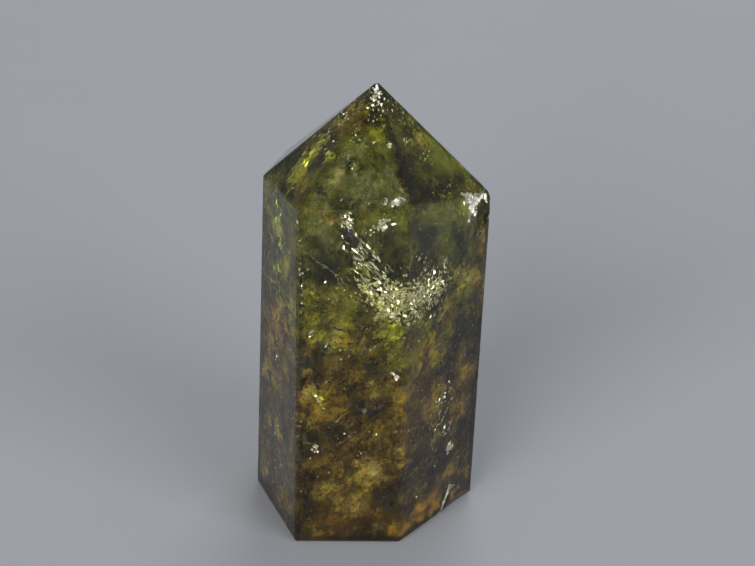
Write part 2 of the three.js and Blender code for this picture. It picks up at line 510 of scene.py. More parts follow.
# Places where the cloud is stained or thinned, or given painted shade, a painted sheen or a painted glow,
# in millimetres: the middle and the radius of each.
STAINS_AND_PAINTED_LIGHT = {
    "lime": [
        ((-10.2, -5.4, 59.4), 3.0),
        ((-8.3, -4.4, 61.6), 2.2),
        ((-6.9, -8.4, 61.6), 1.4),
        ((-11.9, -6.9, 57.4), 2.0),
        ((-13.9, -7.2, 49), 2.0),
        ((-13.6, -8.0, 46), 1.8),
        ((-12.5, -10.2, 45.3), 1.5),
        ((-7.3, -14.4, 26.2), 1.8),
        ((-14.2, -6.5, 44.5), 5.0),
        ((-6, 9, 58.5), 3.4),
        ((-0.6, -6.3, 64.7), 2.4),
        ((7.2, -1.0, 61.4), 2.0),
        ((10.5, -5.1, 55.1), 1.5),
        ((8.3, -6.7, 56.6), 1.3),
        ((3.5, -13.8, 37.5), 4.2),
        ((-2.9, -14.2, 38.2), 2.1),
        ((10.5, -7.3, 28.9), 2.2),
        ((11.7, -5.6, 32.9), 2.0),
        ((-9.6, -14.9, 42), 2.4),
        ((-13.9, -6.8, 36.5), 2.6),
    ],
    "amber": [
        ((-6.1, -14.6, 24.5), 4.6),
        ((12.0, -6.4, 1.9), 4.4),
        ((4.3, -14.4, 1.8), 2.2),
        ((-16, -2.5, 28.6), 3.2),
        ((-15.7, -2.8, 34), 2.4),
        ((-3.6, -14.2, 34.6), 2.2),
        ((5.6, -13, 24), 3.0),
        ((-12.3, -10, 28), 3.4),
        ((14.6, -2.6, 24), 2.4),
        ((-14, -6.7, 33), 6.0),
        ((-13.9, -6.8, 23.5), 6.0),
        ((10.9, -7.1, 22), 4.6),
        ((8.8, -9.3, 32), 3.6),
        ((13.8, -3, 17), 3.4),
        ((-0.5, -3.8, 67), 2.6),
        ((-4.6, -3.8, 64.8), 3.0),
        ((-10.5, -9.6, 57.6), 1.6),
        ((5.4, -4.0, 61.4), 2.4),
        ((3, 14.6, 24), 5.0),
        ((-13, 9, 30), 5.0),
        ((14, 6.5, 34), 5.0),
        ((8.6, -9.6, 3.6), 4.6),
        ((11, -7, 3), 4.4),
        ((13.4, -4.2, 6), 3.0),
    ],
    "rust": [
        ((-8.9, -14.7, 33.4), 1.7),
        ((15.9, 0, 46), 1.6),
        ((15.9, 0, 43.6), 1.9),
        ((15.9, 0, 41), 2.2),
        ((15.9, -0.2, 38.4), 1.8),
        ((-3.4, -14.8, 2.6), 4.0),
        ((15.3, -2.2, 10.5), 3.0),
        ((-2.4, -5.4, 65.9), 1.4),
        ((-4.5, -14.1, 50.6), 1.6),
        ((-11, -12, 56.4), 1.5),
        ((-5.5, -14.1, 54.4), 1.3),
        ((4.0, -13.9, 28.5), 1.8),
        ((8.5, -10, 38.5), 1.8),
    ],
    "dark": [
        ((-9.4, -14.9, 31.4), 1.4),
        ((-8.8, -14.9, 17.6), 3.6),
        ((-4.5, -14.6, 19.5), 2.4),
        ((3.8, -14.3, 8.4), 3.6),
        ((14.6, -1.4, 31), 3.2),
        # These dark stains, down the ridge and over the right facet of the point, are painted shade: they
        # stand for the darkness that the facets show there in the light.
        ((1.1, -4.9, 66), 1.2),
        ((2.2, -6.5, 63.7), 1.5),
        ((3.2, -8.0, 61.6), 1.9),
        ((4.0, -9.0, 60.2), 2.3),
        ((5.0, -10, 58.6), 2.7),
        ((6.0, -10.4, 57.4), 3.0),
        ((8.6, -7.8, 56), 2.4),
        ((5.2, -6.6, 61.2), 1.6),
        ((10.6, -4.2, 56.6), 2.2),
        ((7.6, -4.8, 59.4), 2.0),
        ((4.6, -3.2, 63.6), 1.6),
        ((12.6, -1.2, 56.2), 1.8),
        ((9.6, -5.0, 56.4), 2.4),
        ((5.8, -4.2, 61), 1.4),
        ((-8.6, -12.0, 58.6), 1.2),
        ((-3.4, -14.2, 52.6), 1.5),
        ((7.8, -9.8, 50), 3.0),
        ((9.2, -8.4, 46), 2.6),
        ((0.5, -14.2, 30.6), 1.5),
        ((-2.1, -14.4, 31.5), 1.1),
        ((15.2, -1.6, 13.5), 2.8),
        ((-6.5, -14.3, 46), 3.0),
        ((12.2, -5.2, 8.6), 2.0),
    ],
    "frost": [
        ((-13.4, -8, 11), 7.0),
        ((-12.4, -9.6, 3), 5.0),
        ((-14.6, -5, 17), 4.5),
        ((11.1, -6.8, 20.4), 2.8),
        ((11.1, -7, 14.4), 2.6),
        ((3.0, -13.1, 57), 1.7),
        ((1.7, -7.5, 63.4), 0.9),
        ((-0.3, -14.4, 12.4), 3.0),
        ((-5.4, -14.5, 10.6), 2.0),
    ],
    # Painted glow: bright orange at the front of the foot, standing for light scattered up from the base.
    "glow": [
        ((9.2, -9.7, 2.6), 3.4),
        ((10.6, -8.0, 3.0), 3.2),
        ((12.0, -6.2, 2.2), 2.4),
        ((6.6, -12.4, 1.2), 2.2),
        ((4.3, -14.4, 1.0), 2.0),
        ((13.6, -4.2, 1.6), 1.8),
    ],
    # Painted sheen: pale grey-green laid under the middle facet of the point and the upper faces, standing
    # for their reflection of the surroundings.
    "mist": [
        ((-2.2, -10.8, 59.4), 7.5),
        ((2.0, -12.6, 57.4), 4.0),
        ((-6.5, -12.6, 57.4), 4.0),
        ((-14, -7.5, 52), 4.4),
        ((-7.6, -14.2, 49.5), 5.6),
        ((2.6, -13.7, 51), 5.0),
        ((9.4, -8.4, 50), 6.6),
        ((-14.4, -6, 47), 2.6),
    ],
    "open": [
        ((1.2, -13.9, 43.2), 3.4),
        ((5.2, -13.2, 41.2), 4.2),
        ((9.4, -8.4, 40.4), 3.4),
        ((-3.4, -14.1, 53.2), 1.9),
        ((-2.6, -14.1, 50.2), 1.8),
        ((-1.2, -14, 47.4), 1.9),
        ((1.0, -13.7, 53.5), 1.6),
        ((14.6, -0.9, 50.8), 2.6),
        ((13.4, -2.6, 52.6), 1.8),
        ((-0.6, -3.0, 68.2), 2.6),
        ((-0.6, -5.0, 66.4), 1.8),
        ((3.9, -4.9, 62.8), 0.8),
        ((1.7, -7.5, 63.4), 0.8),
        ((-3.2, -9.7, 61), 1.2),
        ((3, 14.6, 38), 2.6),
        ((-4, 14.4, 30), 3.0),
        ((3.9, -13.9, 29.4), 0.8),
        ((12.8, -4.4, 11.5), 0.8),
        ((-7.2, -14.6, 17), 0.8),
        ((13, -5.2, 2.2), 1.6),
        ((10.6, -6.5, 44.2), 1.4),
        ((7.4, -10.3, 46), 1.6),
    ],
    "clear": [
        ((5.5, -11.5, 50.5), 8.0),
        ((-7.5, -14.2, 52), 5.5),
        ((-3.5, -14.0, 46.5), 5.0),
        ((11.5, -4.8, 46), 5.5),
        ((-13.5, -8, 53), 3.0),
        ((3, 14.8, 49), 6.5),
        ((-15.8, 5.5, 47), 6.0),
        ((13.5, 7, 46), 6.0),
        ((2, 9, 60), 5.0),
    ],
}


class Shell(NamedTuple):
    """One mass of cloud. Lengths are in millimetres."""

    inset: float  # how far it lies inside the faces
    hollow: float  # how deep its hollows are
    top: float  # how high it reaches
    ragged: float  # how ragged its top is
    low: float  # how whole it is at the foot, around 0
    high: float  # how whole it is at the top, around 0


SHELLS = [
    Shell(0.35, 1.0, 80, 0, -0.02, -0.03),
    Shell(1.2, 2.0, 80, 0, 0.03, -0.02),
    Shell(2.2, 3.0, 47, 6, 0.1, -0.02),
    Shell(4.2, 3.4, 42, 8, 0.4, 0.1),
    Shell(6.5, 2.0, 80, 0, 0.4, 0.05),
]
OPEN_SHELLS = 2  # the outermost masses leave the open places clear

# Masses of amber smoke: like shells, but they only tint the stone.
SMOKES = {
    "smoke_low": (Shell(0.16, 0, 34, 9, 0, 0), (0.5, 0.3, 0.02), 60.0),
    "smoke_high": (Shell(0.26, 0, 44, 9, 0, 0), (0.5, 0.42, 0.05), 45.0),
}


def stain_place(middle, radius):
    """The face that a stain or a patch of painted light lies under, with its middle and radius in metres.
    """
    at = Vector(middle) * MM
    return nearest_cut(at), at, radius * MM


STAIN_AND_LIGHT_PLACES = {kind: [stain_place(*stain) for stain in stains] for kind, stains in STAINS_AND_PAINTED_LIGHT.items()}
SPREADING = ("open", "clear")  # these go round the stone's edges, and the other kinds stop there


def stained(kind, at, cut):
    """How strongly the stains or painted light of one kind tell beneath a point of one of the faces, from 0
    to 1.
    """
    strength = 0.0
    for own_cut, middle, radius in STAIN_AND_LIGHT_PLACES[kind]:
        if kind in SPREADING or own_cut is cut:
            strength = max(strength, 1 - (at - middle).length_squared / (radius * radius))
    return strength


# Colours of the cloud from its darkest to its palest: brown low down and olive above.
BROWNS = [
    (0.0, (0.026, 0.014, 0.002)),
    (0.3, (0.092, 0.051, 0.004)),
    (0.5, (0.245, 0.147, 0.009)),
    (0.72, (0.5, 0.325, 0.026)),
    (1.0, (0.9, 0.7, 0.14)),
]
OLIVES = [
    (0.0, (0.018, 0.016, 0.002)),
    (0.3, (0.064, 0.06, 0.004)),
    (0.5, (0.165, 0.155, 0.008)),
    (0.72, (0.36, 0.34, 0.018)),
    (1.0, (0.72, 0.69, 0.1)),
]
# Colours of the stains, of the painted sheen and of the painted glow, and how strongly each kind colours
# the cloud.
LIMES = [
    (0.0, (0.05, 0.047, 0.002)),
    (0.4, (0.28, 0.27, 0.009)),
    (0.7, (0.62, 0.6, 0.025)),
    (1.0, (0.92, 0.9, 0.18)),
]
AMBERS = [
    (0.0, (0.08, 0.045, 0.001)),
    (0.4, (0.38, 0.24, 0.006)),
    (0.7, (0.7, 0.48, 0.02)),
    (1.0, (0.95, 0.8, 0.15)),
]
RUSTS = [
    (0.0, (0.03, 0.01, 0.001)),
    (0.5, (0.2, 0.085, 0.004)),
    (0.8, (0.5, 0.22, 0.012)),
    (1.0, (0.75, 0.45, 0.06)),
]
FROSTS = [
    (0.0, (0.06, 0.05, 0.01)),
    (0.4, (0.27, 0.22, 0.045)),
    (0.75, (0.5, 0.43, 0.11)),
    (1.0, (0.85, 0.8, 0.35)),
]
# Painted sheen: pale grey-green that stands for the faces' reflection of the surroundings.
PAINTED_SHEENS = [
    (0.0, (0.06, 0.075, 0.03)),
    (0.45, (0.22, 0.26, 0.12)),
    (0.75, (0.38, 0.43, 0.22)),
    (1.0, (0.7, 0.76, 0.5)),
]
# Painted glow: bright orange that stands for light scattered up into the foot from its base.
PAINTED_GLOWS = [
    (0.0, (0.3, 0.13, 0.01)),
    (0.35, (0.62, 0.32, 0.025)),
    (0.7, (0.88, 0.54, 0.07)),
    (1.0, (0.98, 0.8, 0.25)),
]
STAIN_AND_LIGHT_COLOURS = {
    "lime": (LIMES, 0.75),
    "amber": (AMBERS, 0.7),
    "rust": (RUSTS, 0.7),
    "frost": (FROSTS, 0.55),
    "mist": (PAINTED_SHEENS, 0.75),
    "glow": (PAINTED_GLOWS, 0.88),
}
# Near-black: the colour of the dark stains, and painted shade down the ridge and over the right facet of
# the point.
DARK_STAIN_AND_SHADE = (0.012, 0.009, 0.004)
VEIN = (0.7, 0.6, 0.2)
STREAKS = (-0.58, -0.42, -0.7)  # the way that the cloud is drawn out


def cloud_finish():
    """Cloud: brown low down, olive above, softly mottled, stained, veined, and broken up by clear gaps,
    with painted shade, a painted sheen and a painted glow in places.
    """
    finish = Finish("cloud")
    broad = finish.noise(110, 3, 0.5) - 0.5
    patchy = finish.noise(320, 4, 0.55) - 0.5
    fine = finish.noise(1400, 4, 0.65) - 0.5
    streaky = finish.noise(650, 4, 0.6, 3.0, STREAKS) - 0.5
    tones = finish.cell_tones(1100, 1.8, STREAKS) - 0.5
    foot = (0.2 - finish.axis("Z") / (170 * MM)).clamped()
    grain = finish.noise(3600, 3, 0.6) - 0.5
    calm = (finish.axis("Z") / (12 * MM) + 0.35).clamped()
    mottling = broad * 1.2 + patchy * 1.4 + fine * 1.0 + streaky * 0.9 + grain * 0.9 + tones * 0.25
    value = (0.46 + mottling * calm - foot + finish.drawn("deep") * 0.26).clamped()
    turning = (finish.axis("Z") / (14 * MM) - 1.9 + broad * 4).clamped()
    colour = finish.blend(turning, finish.ramp(value, BROWNS), finish.ramp(value, OLIVES))
    edge = patchy * 2.2 + fine * 0.8 - 0.2
    # Stains, and the painted sheen and painted glow, each laid over the cloud's colour.
    for kind, (stops, strength) in STAIN_AND_LIGHT_COLOURS.items():
        share = (finish.drawn(kind) * 1.3 + edge + streaky * 1.6).clamped()
        colour = finish.blend(share * strength, colour, finish.ramp(value, stops))
    # Darkens the cloud with the dark stains; on the point's ridge and right facet this is painted shade.
    dark = (finish.drawn("dark") * 1.6 + edge).clamped()
    colour = finish.blend(dark * 0.9, colour, DARK_STAIN_AND_SHADE)
    winding = finish.noise(260, 5, 0.6) - 0.5
    vein = (1 - winding.maths("ABSOLUTE", winding) * 55).clamped() * (patchy * 5 + 0.35).clamped()
    colour = finish.blend(vein * 0.4, colour, VEIN)
    gaps = finish.noise(170, 4, 0.6) - 0.5 + patchy * 0.5 + fine * 0.25 + finish.drawn("cover")
    facets = ((tones - 0.2) * 9).clamped() * (patchy * 5 + streaky * 4 + 0.5).clamped()
    crumples = finish.cells(1100, stretch=1.8, along=STREAKS) * 0.8 + fine * 0.8
    surface = {
        "Base Color": colour,
        "Roughness": 0.62 - facets * 0.27,
        "Metallic": facets * 0.8,
        "Alpha": ((gaps * 2.5 + 0.32).clamped() * 0.95 + vein * 0.25).clamped(),
        "Specular IOR Level": 0.0,
        "Normal": finish.bump(crumples, 0.7, 0.25 * MM),
    }
    return finish.finished(surface)


VOXEL = 0.6 * MM  # how finely a mass of cloud is divided
SHELL_SHIFT = 40 * MM  # how far the noise moves on from one mass to the next


def shell_solid(shell, shift):
    """A bmesh of a cloud mass that follows the stone's faces from inside, with a ragged top."""
    lid = (Vector((0.12, -0.08, 1)).normalized(), shell.top * MM)
    bm = cut_solid([*MAIN_CUTS, lid], shell.inset * MM)
    mesh = bpy.data.meshes.new("cloud_blank")
    bm.to_mesh(mesh)
    bm.free()
    blank = bpy.data.objects.new("cloud_blank", mesh)
    bpy.context.scene.collection.objects.link(blank)
    remesh = blank.modifiers.new("even", "REMESH")
    remesh.mode = "VOXEL"
    remesh.voxel_size = VOXEL
    evaluated = blank.evaluated_get(bpy.context.evaluated_depsgraph_get())
    bm = bmesh.new()
    bm.from_mesh(evaluated.to_mesh())
    bpy.data.objects.remove(blank)
    bm.normal_update()
    for vert in bm.verts:
        at = vert.co + shift
        lumps = 0.5 + 0.5 * noise.fractal(at * 210, 0.7, 2.0, 4)
        high = max(0.0, min(1.0, vert.co.z / (12 * MM) - (shell.top - 14) / 12))
        lift = noise.fractal(at * 120 + UP * 9, 0.7, 2.0, 4)
        low = max(0.0, 1 - (vert.co.z / MM - shell.inset) / 4)
        sunk = vert.co - vert.normal * (shell.hollow * MM * max(0.0, lumps))
        vert.co = kept_inside(sunk + UP * (high * lift * shell.ragged * MM), shell.inset * MM)
        drop = low * (shell.inset + shell.hollow) * MM
        vert.co.z = max(vert.co.z - drop, (0.05 + shell.inset / 4) * MM)
    return bm


def paint_shell(bm, shell, opened):
    """Notes on a cloud mass where it is stained or given painted shade, sheen or glow, and how whole it is.
    """
    layers = {kind: bm.verts.layers.float.new(kind) for kind in STAINS_AND_PAINTED_LIGHT}
    cover = bm.verts.layers.float.new("cover")
    deep = bm.verts.layers.float.new("deep")
    for vert in bm.verts:
        cut = nearest_cut(vert.co)
        outside = beneath(vert.co, 0)
        for kind, layer in layers.items():
            vert[layer] = stained(kind, outside, cut)
        share = max(0.0, min(1.0, (vert.co.z / MM - 30) / 14))
        whole = shell.low + (shell.high - shell.low) * share
        deepest = max(vert[layers[kind]] for kind in STAIN_AND_LIGHT_COLOURS if kind != "mist")
        whole += 0.2 * max(deepest, vert[layers["dark"]]) - 0.11 * vert[layers["clear"]]
        vert[cover] = whole - opened * 0.9 * vert[layers["open"]]
        vert[deep] = shell.inset / SHELLS[-1].inset


class CITRINE_OT_smoke(bpy.types.Operator):
    """Build the amber smoke that deepens towards the foot"""

    bl_idname = "citrine.smoke"
    bl_label = "Smoke"

    def execute(self, context):
        for number, (name, (shell, tint, density)) in enumerate(SMOKES.items()):
            bm = shell_solid(shell, Vector((7 + number, 3, 0)) * SHELL_SHIFT)
            finish = Finish(name)
            surface = {"Base Color": (1, 1, 1, 1), "Roughness": 0.0, "IOR": 1.0, "Transmission Weight": 1.0}
            volume = {"Color": (*tint, 1), "Density": density}
            add_piece(name, bm, finish.finished(surface, volume), "citrine", smooth=True)
        return {"FINISHED"}


class CITRINE_OT_clouds(bpy.types.Operator):
    """Build the masses of cloud inside the stone, with their stains and their painted shade, sheen and glow
    """

    bl_idname = "citrine.clouds"
    bl_label = "Clouds"

    def execute(self, context):
        finish = cloud_finish()
        for number, shell in enumerate(SHELLS):
            bm = shell_solid(shell, Vector((number, 2 * number, 0)) * SHELL_SHIFT)
            paint_shell(bm, shell, number < OPEN_SHELLS)
            add_piece(f"cloud_{number + 1}", bm, finish, "cloud_veil", smooth=True)
        return {"FINISHED"}


# ---------------------------------------------------------------- films and plates


SHALLOWEST = 0.15 * MM  # how near the surface a film may come


def film_finish(name, dark, pale, roughness, mirror, torn=0.0):
    """A film of air, fluid or stain in a crack: from dark to pale, partly a mirror, and torn open."""
    finish = Finish(name)
    shade = finish.drawn("shade")
    fine = finish.noise(1700, 4, 0.65)
    share = (shade * 1.1 + fine * 1.6 - 0.8).clamped()
    surface = {
        "Base Color": finish.blend(share, dark, pale),
        "Roughness": (roughness + (fine - 0.5) * 0.3).clamped(),
        "Metallic": (shade * 14 - 14 * (1 - mirror)).clamped(),
    }
    if torn:
        surface["Alpha"] = ((finish.noise(1300, 4, 0.7) - torn) * 12).clamped()
    return finish.finished(surface)


def add_flake(bm, layer, at, outward, along, length, width, sides, shade, chance):
    """Adds one small uneven plate that faces outward and runs along a direction."""
    across = outward.cross(along).normalized()
    turn = Matrix((along - outward * along.dot(outward), across, outward)).transposed().to_4x4()
    size = Matrix.Diagonal((length / 2, width / 2, 1, 1))
    made = bmesh.ops.create_circle(bm, cap_ends=True, segments=sides, radius=1)
    for vert in made["verts"]:
        vert.co *= chance.uniform(0.5, 1.15)
        vert.co = kept_inside(Matrix.Translation(at) @ turn @ size @ vert.co, SHALLOWEST)
        vert[layer] = shade


class Cluster(NamedTuple):
    """A drift of small plates just under the surface. Lengths are in millimetres."""

    middle: tuple
    along: tuple  # the way that the plates run
    spread: tuple  # how far they spread along and across
    depth: tuple  # the least and the greatest depth
    count: int
    size: tuple  # the least and the greatest length
    slim: float  # length to width
    tilt: float = 0.17  # how unevenly they face


def add_cluster(bm, layer, cluster, chance):
    """Adds the plates of a cluster."""
    middle = Vector(cluster.middle) * MM
    outward = nearest_cut(middle)[0]
    along = Vector(cluster.along)
    along = (along - outward * along.dot(outward)).normalized()
    across = outward.cross(along)
    for _ in range(cluster.count):
        forth = along * chance.gauss(0, 0.5) * cluster.spread[0]
        aside = across * chance.gauss(0, 0.5) * cluster.spread[1]
        at = beneath(middle + (forth + aside) * MM, chance.uniform(*cluster.depth) * MM)
        facing = tilted(set_facing(outward), cluster.tilt, chance)
        bend = along + across * chance.gauss(0, 0.35)
        run = (bend - facing * bend.dot(facing)).normalized()
        length = chance.uniform(*cluster.size) * MM
        width = length / cluster.slim * chance.uniform(0.6, 1.4)
        sides = chance.randint(5, 7)
        add_flake(bm, layer, at, facing, run, length, width, sides, chance.random(), chance)


DOWN_LEFT = (-0.58, -0.42, -0.7)
DOWN_RIGHT = (0.55, 0.1, -0.85)
DOWN = (0.05, 0, -1)

BRIGHT_CLUSTERS = [
    Cluster((-0.6, -2.2, 69.3), DOWN_LEFT, (0.5, 0.4), (0.15, 0.4), 12, (0.25, 0.6), 1.4),
    Cluster((-0.6, -4.2, 67.2), DOWN, (3.4, 2.6), (0.2, 1.2), 34, (0.15, 0.45), 1.5),
    Cluster((2.8, -2.2, 66), DOWN_RIGHT, (3.6, 2.0), (0.2, 1.0), 26, (0.15, 0.45), 1.5),
    Cluster((-5.9, -3.4, 64.4), DOWN_LEFT, (6.0, 2.4), (0.2, 1.0), 44, (0.15, 0.45), 1.6),
    Cluster((-3.2, -6.8, 64.4), DOWN, (2.0, 1.0), (0.3, 1.4), 16, (0.15, 0.4), 1.5),
    Cluster((-3.2, -9.7, 61), DOWN, (1.8, 0.7), (0.4, 1.6), 26, (0.12, 0.35), 1.6),
    Cluster((1.7, -7.5, 63.4), DOWN_LEFT, (0.6, 0.4), (0.3, 0.8), 12, (0.25, 0.6), 1.6),
    Cluster((3.9, -4.9, 62.8), DOWN_LEFT, (0.5, 0.4), (0.3, 0.8), 9, (0.3, 0.8), 2.2),
    Cluster((7.4, -2.8, 60.1), DOWN_LEFT, (2.4, 1.4), (0.3, 1.0), 12, (0.12, 0.4), 1.6),
    Cluster((-8.5, -1.6, 62), DOWN_LEFT, (3.4, 0.6), (0.3, 0.8), 14, (0.12, 0.35), 1.6),
    Cluster((-3.4, -14.1, 54), DOWN_RIGHT, (0.9, 0.6), (0.6, 1.6), 14, (0.3, 0.9), 3.0),
    Cluster((1.0, -13.7, 53.5), DOWN_LEFT, (1.7, 0.8), (0.8, 2.2), 36, (0.2, 0.7), 1.7, 0.24),
    Cluster((8.1, -9.6, 44.4), DOWN_LEFT, (1.3, 1.0), (0.6, 1.6), 10, (0.2, 0.45), 1.5),
    Cluster((6.8, -11.1, 47.6), DOWN_LEFT, (0.5, 0.4), (0.6, 1.2), 6, (0.25, 0.6), 1.5),
    Cluster((10.6, -6.5, 44.2), DOWN_RIGHT, (1.8, 0.4), (0.6, 1.2), 9, (0.4, 1.1), 4.0),
    Cluster((-8.4, -14.5, 36), DOWN_LEFT, (0.8, 0.5), (0.5, 1.2), 7, (0.3, 0.8), 2.2),
    Cluster((-6.0, -14.5, 34.4), DOWN, (0.5, 0.3), (0.4, 0.9), 7, (0.25, 0.6), 1.8),
    Cluster((3.9, -13.9, 29.4), DOWN_RIGHT, (0.7, 0.4), (0.4, 0.9), 9, (0.4, 1.0), 1.7),
    Cluster((-7.2, -14.6, 17), DOWN_RIGHT, (0.7, 0.6), (0.4, 1.1), 14, (0.2, 0.6), 1.6),
    Cluster((12.8, -4.4, 11.5), DOWN_LEFT, (1.3, 0.8), (0.3, 1.0), 24, (0.3, 0.9), 2.0),
    Cluster((13.1, -5.0, 2.9), (0.55, 0.7, 1.5), (2.8, 0.22), (0.2, 0.5), 34, (0.4, 1.0), 3.0),
    Cluster((11.2, -6.6, 20), DOWN_LEFT, (2.4, 1.4), (0.4, 1.4), 26, (0.2, 0.6), 2.0),
    Cluster((13.6, -2.4, 53), DOWN_RIGHT, (1.3, 0.8), (0.25, 0.8), 44, (0.6, 1.6), 1.5),
    Cluster((14.4, -1.2, 51), DOWN_LEFT, (2.2, 1.2), (0.3, 1.1), 44, (0.6, 1.7), 1.8),
    Cluster((15.9, 0.9, 51.6), DOWN, (1.6, 0.4), (0.25, 0.6), 10, (0.4, 1.2), 2.4),
    Cluster((-13.4, -8, 10), DOWN, (7, 3.5), (0.3, 1.0), 70, (0.1, 0.3), 1.4),
    Cluster((-14, -7, 44), DOWN, (8, 2.0), (0.3, 1.2), 34, (0.12, 0.45), 2.4),
    Cluster((3, 14.6, 38), DOWN_LEFT, (6.0, 2.4), (0.5, 1.8), 70, (0.2, 0.8), 2.2, 0.24),
    Cluster((-12, 10, 46), DOWN, (5.0, 3.0), (0.5, 1.6), 40, (0.2, 0.6), 1.8, 0.24),
    Cluster((14, 7, 26), DOWN, (6.0, 3.0), (0.5, 1.6), 40, (0.2, 0.6), 1.8, 0.24),
    Cluster((2, 6, 64), DOWN, (5.0, 3.0), (0.3, 1.2), 40, (0.15, 0.4), 1.6, 0.24),
    Cluster((11.2, -6.8, 20.4), DOWN_LEFT, (3.0, 1.8), (0.3, 1.0), 30, (0.2, 0.7), 2.0),
    Cluster((12.2, -5.6, 15), DOWN_LEFT, (3.0, 1.4), (0.3, 1.0), 24, (0.2, 0.6), 2.0),
    Cluster((-0.6, -3.2, 68.3), DOWN, (1.8, 1.4), (0.15, 0.6), 34, (0.2, 0.6), 1.4),
]

GOLD_CLUSTERS = [
    Cluster((3.9, -13.8, 41.6), DOWN_RIGHT, (3.4, 2.8), (0.6, 1.8), 420, (0.15, 0.75), 1.9, 0.22),
    Cluster((6.4, -11.6, 41), DOWN_RIGHT, (3.2, 3.4), (0.4, 1.4), 420, (0.18, 0.8), 1.9, 0.2),
    Cluster((9.4, -8.2, 41), DOWN_LEFT, (3.4, 3.0), (0.4, 1.4), 300, (0.18, 0.8), 1.9, 0.2),
    Cluster((-1.6, -14, 43), DOWN_RIGHT, (3.0, 2.0), (0.6, 2.4), 50, (0.2, 0.7), 2.4, 0.24),
    Cluster((-9.8, -14.8, 44), DOWN, (5.0, 0.8), (0.4, 1.2), 18, (0.15, 0.4), 1.6),
    Cluster((5, -13.6, 33.5), DOWN_LEFT, (5.5, 3.0), (0.5, 1.6), 50, (0.15, 0.6), 2.4, 0.24),
    Cluster((-7.2, -14.4, 25.6), DOWN_RIGHT, (1.4, 0.5), (0.4, 1.0), 16, (0.3, 0.9), 2.2),
    Cluster((-2, -14.4, 35), DOWN_LEFT, (5.0, 3.0), (0.5, 1.8), 36, (0.15, 0.6), 2.0, 0.24),
    Cluster((-3, -14.4, 18), DOWN_LEFT, (9.0, 8.0), (0.3, 1.4), 60, (0.12, 0.4), 1.8, 0.24),
    Cluster((11, -7, 24), DOWN_LEFT, (14.0, 4.0), (0.3, 1.4), 60, (0.12, 0.45), 2.0, 0.24),
    Cluster((-14, -6.8, 28), DOWN, (16.0, 3.0), (0.3, 1.2), 60, (0.12, 0.5), 2.4, 0.22),
    Cluster((-4, 14.4, 30), DOWN_RIGHT, (5.0, 3.0), (0.6, 1.8), 120, (0.25, 0.8), 1.8, 0.24),
]

LIME_CLUSTERS = [
    Cluster((-9.9, -5.4, 60), DOWN_LEFT, (4.4, 1.3), (0.35, 1.1), 90, (0.5, 2.0), 3.6, 0.25),
    Cluster((-6.9, -8.4, 61.6), DOWN_LEFT, (1.0, 0.8), (0.4, 1.0), 24, (0.4, 1.2), 2.4, 0.25),
    Cluster((-13.6, -7.7, 47.6), DOWN, (5.0, 1.2), (0.3, 1.0), 60, (0.4, 1.6), 3.4, 0.2),
    Cluster((-14, -6.9, 42), DOWN, (7.0, 2.0), (0.3, 1.0), 40, (0.3, 1.2), 3.4, 0.2),
    Cluster((9.4, -5.8, 55.8), DOWN, (2.0, 1.8), (0.4, 1.2), 24, (0.3, 0.9), 2.4, 0.3),
    Cluster((5.4, -3.4, 61.8), DOWN_LEFT, (3.0, 2.2), (0.4, 1.4), 30, (0.3, 1.1), 2.6, 0.3),
    Cluster((3, -13.8, 36.4), DOWN_LEFT, (5.0, 2.4), (0.5, 1.6), 60, (0.3, 1.1), 3.0, 0.3),
    Cluster((-7.3, -14.4, 26), DOWN_RIGHT, (1.8, 0.7), (0.4, 1.0), 22, (0.4, 1.2), 2.6, 0.3),
]

DARK_CLUSTERS = [
    Cluster((-3.5, -14.1, 51.9), DOWN_RIGHT, (1.5, 0.7), (0.5, 1.2), 46, (0.6, 1.5), 1.5, 0.3),
    Cluster((-9.4, -14.9, 31.6), DOWN, (0.8, 0.7), (0.4, 1.2), 26, (0.6, 1.3), 1.2, 0.3),
    Cluster((-6.0, -14.5, 34), DOWN_LEFT, (0.4, 0.4), (0.6, 1.2), 8, (0.4, 0.9), 1.3, 0.3),
    Cluster((0.5, -14.2, 30.6), DOWN_LEFT, (1.0, 0.5), (0.4, 1.2), 12, (0.5, 1.2), 3.0, 0.3),
    Cluster((-7.6, -12.2, 57.8), DOWN, (0.8, 0.5), (0.4, 1.2), 14, (0.4, 1.0), 1.4, 0.3),
    Cluster((-8.8, -14.9, 17), DOWN, (2.0, 1.6), (0.6, 1.6), 30, (0.5, 1.4), 1.5, 0.3),
    Cluster((3.8, -14.3, 8), DOWN_RIGHT, (2.4, 2.0), (0.6, 1.6), 36, (0.5, 1.5), 1.5, 0.3),
    Cluster((14.6, -1.2, 30), DOWN, (3.4, 1.4), (0.5, 1.6), 26, (0.5, 1.6), 2.0, 0.3),
    Cluster((3.6, -13.9, 41), DOWN, (3.4, 2.4), (0.5, 1.6), 46, (0.12, 0.4), 1.4, 0.5),
]

GREY_CLUSTERS = [
    Cluster((2.9, -13.1, 57.2), (1, 0, 0.3), (1.5, 0.5), (0.3, 0.8), 30, (0.5, 1.3), 1.7, 0.08),
    Cluster((1.2, -13.6, 53.6), DOWN_LEFT, (1.6, 0.9), (0.5, 1.4), 22, (0.4, 1.0), 1.7, 0.12),
    Cluster((14.2, -1.6, 51.6), DOWN_RIGHT, (2.0, 1.2), (0.4, 1.0), 12, (1.0, 2.2), 1.6, 0.1),
]


class PlateKind(NamedTuple):
    """Plates that share a finish."""

    clusters: list
    dark: tuple  # the darkest colour
    pale: tuple  # the palest colour
    roughness: float
    mirror: float  # the share of the plates that are mirrors
    slot: str
    torn: float = 0.0  # how torn the films are


